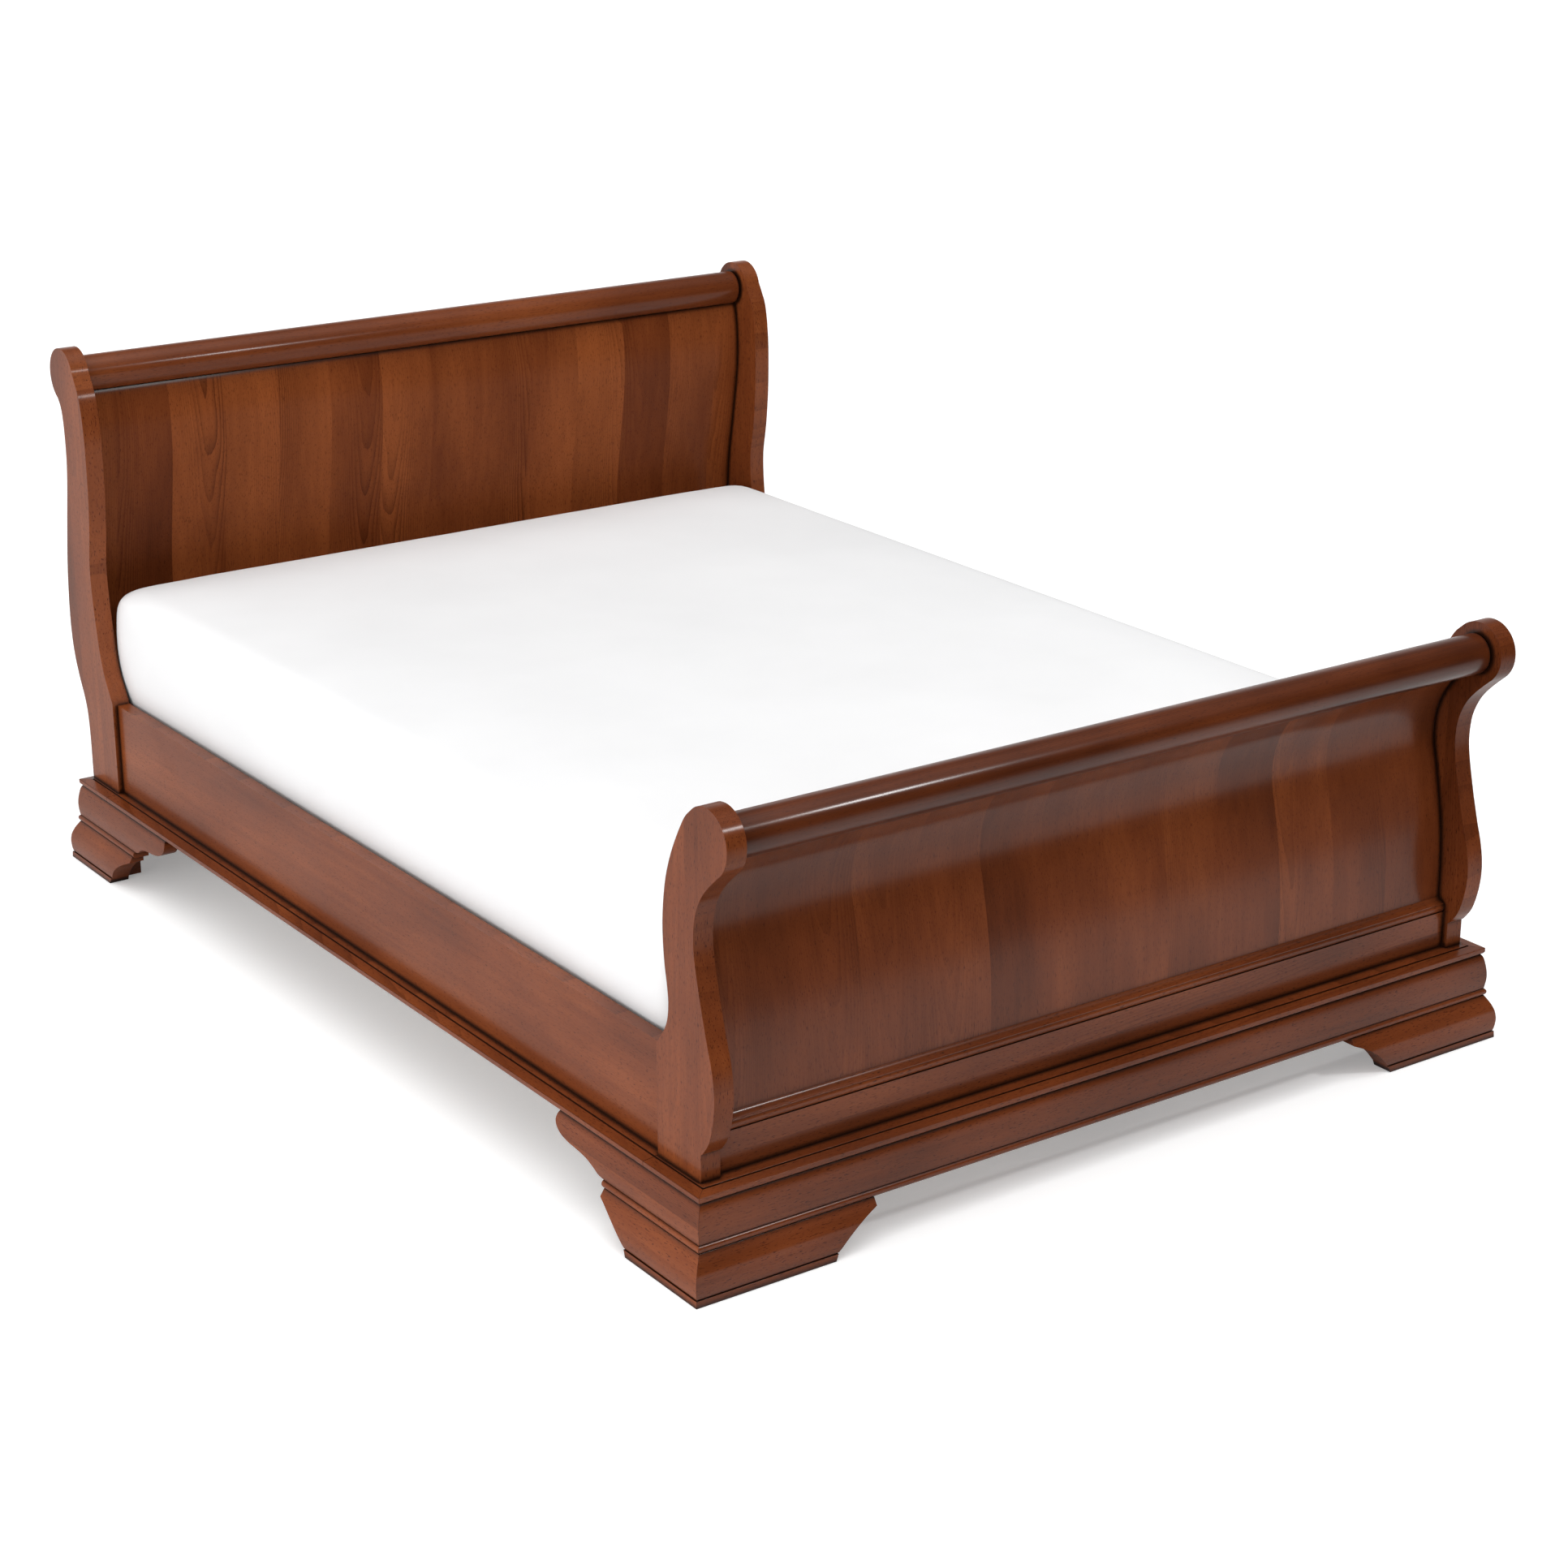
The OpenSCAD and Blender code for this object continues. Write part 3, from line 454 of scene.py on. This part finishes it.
FLOOR = 40.0                        # half the floor's side, m
DARK_FROM, PALE_FROM = -4.9, -1.9   # painted pool of light: the floor's colour rises from dark grey to pale between these, towards the bed (y, m)
floor_mesh = bpy.data.meshes.new("floor")
floor_mesh.from_pydata([(FLOOR * x, FLOOR * y, 0) for x, y in ((-1, -1), (1, -1), (1, 1), (-1, 1))],
                       [], [(0, 1, 2, 3)])
floor = bpy.data.objects.new("floor", floor_mesh)
bpy.context.scene.collection.objects.link(floor)
floor.location.z = BED_LO.z - 0.0005
paint = Graph("pale_floor")
place = paint.node("ShaderNodeSeparateXYZ", {"Vector": paint.node("ShaderNodeTexCoord").outputs["Object"]})
# painted pool of light: pale near the bed, dark grey further away
painted_pool_of_light = paint.math("POWER", paint.remap(place.outputs["Y"], DARK_FROM, PALE_FROM), 1.6)
paint.feed(paint.bsdf.inputs["Base Color"],
           paint.mix(painted_pool_of_light, rgb(0.04, 0.04, 0.04), rgb(0.90, 0.90, 0.90)))
paint.feed(paint.bsdf.inputs["Roughness"], 0.9)
paint.feed(paint.bsdf.inputs["Specular IOR Level"], 0.1)
# the camera sees one even pale floor: for camera rays the floor glows, giving back what the painted pool of
# light takes away and lifting the cast shadows by a fixed amount
glow = paint.node("ShaderNodeLightPath").outputs["Is Camera Ray"]
paint.feed(paint.bsdf.inputs["Emission Color"], rgb(1.0, 1.0, 1.0))
camera_only_glow = paint.math("ADD", paint.math("MULTIPLY", paint.math("SUBTRACT", 1.0, painted_pool_of_light), 1.2), 0.27)
paint.feed(paint.bsdf.inputs["Emission Strength"], paint.math("MULTIPLY", glow, camera_only_glow))
floor_mesh.materials.append(paint.mat)


SKY_TOP, SKY_LEFT, SKY_LEAST = 3.35, 1.85, 0.02
WALL_TOP, WALL_LOW, WALL_HIGH = 0.62, 0.8, 0.15     # behind the head end: its height (sine) and two levels


def studio():
    """White studio sky: bright overhead and to the left, dim towards the foot end, white to the camera."""
    world = bpy.data.worlds.new("studio")
    bpy.context.scene.world = world
    world.use_nodes = True
    tree = world.node_tree

    def calc(op, a, b):
        made = tree.nodes.new("ShaderNodeMath")
        made.operation = op
        for socket, value in zip(made.inputs, (a, b)):
            if isinstance(value, bpy.types.NodeSocket):
                tree.links.new(value, socket)
            else:
                socket.default_value = value
        return made.outputs[0]

    xyz = tree.nodes.new("ShaderNodeSeparateXYZ")
    tree.links.new(tree.nodes.new("ShaderNodeTexCoord").outputs["Generated"], xyz.inputs[0])
    x, y, z = xyz.outputs
    lean = calc("ADD", calc("MULTIPLY", calc("ADD", x, y), -0.15), calc("MULTIPLY", z, 0.977))
    top = calc("MULTIPLY", calc("POWER", calc("MAXIMUM", lean, 0.0), 6.0), SKY_TOP)
    left = calc("MULTIPLY", calc("POWER", calc("MAXIMUM", calc("MULTIPLY", x, -1.0), 0.0), 5.0), SKY_LEFT)
    low = calc("MINIMUM", calc("MULTIPLY", calc("MAXIMUM", calc("SUBTRACT", WALL_TOP, z), 0.0), 4.0), 1.0)
    wall = calc("ADD", calc("MULTIPLY", low, WALL_LOW), WALL_HIGH)
    back = calc("MULTIPLY", calc("MAXIMUM", y, 0.0), wall)
    level = calc("ADD", calc("ADD", top, left), calc("ADD", back, SKY_LEAST))
    seen = tree.nodes.new("ShaderNodeLightPath").outputs["Is Camera Ray"]
    tree.links.new(calc("MAXIMUM", level, seen), tree.nodes["Background"].inputs["Strength"])
    tree.nodes["Background"].inputs["Color"].default_value = rgb(1.0, 1.0, 1.0)


studio()


def softbox(name, place, target, size, watts):
    lamp = bpy.data.lights.new(name, "AREA")
    lamp.shape = "RECTANGLE"
    lamp.size, lamp.size_y = size
    lamp.energy = watts
    made = bpy.data.objects.new(name, lamp)
    made.location = place
    made.rotation_euler = (Vector(target) - Vector(place)).to_track_quat("-Z", "Y").to_euler()
    made.visible_camera = False
    bpy.context.scene.collection.objects.link(made)


softbox("front_lamp", (1.55, -3.55, 3.3), (-0.4, -0.4, 0.8), (0.42, 0.42), 35)
softbox("left_lamp", (-4.4, -1.4, 1.7), (-0.8, -0.5, 0.4), (2.4, 1.8), 44)

TURN, TILT = math.radians(35.19), math.radians(19.77)
camera_data = bpy.data.cameras.new("camera")
camera_data.lens = 72.99
camera_data.sensor_width = 36.0
camera = bpy.data.objects.new("camera", camera_data)
camera.location = (-3.148, -4.635, 2.328)
camera.rotation_euler = (math.pi / 2 - TILT, 0, -TURN)
bpy.context.scene.collection.objects.link(camera)
bpy.context.scene.camera = camera
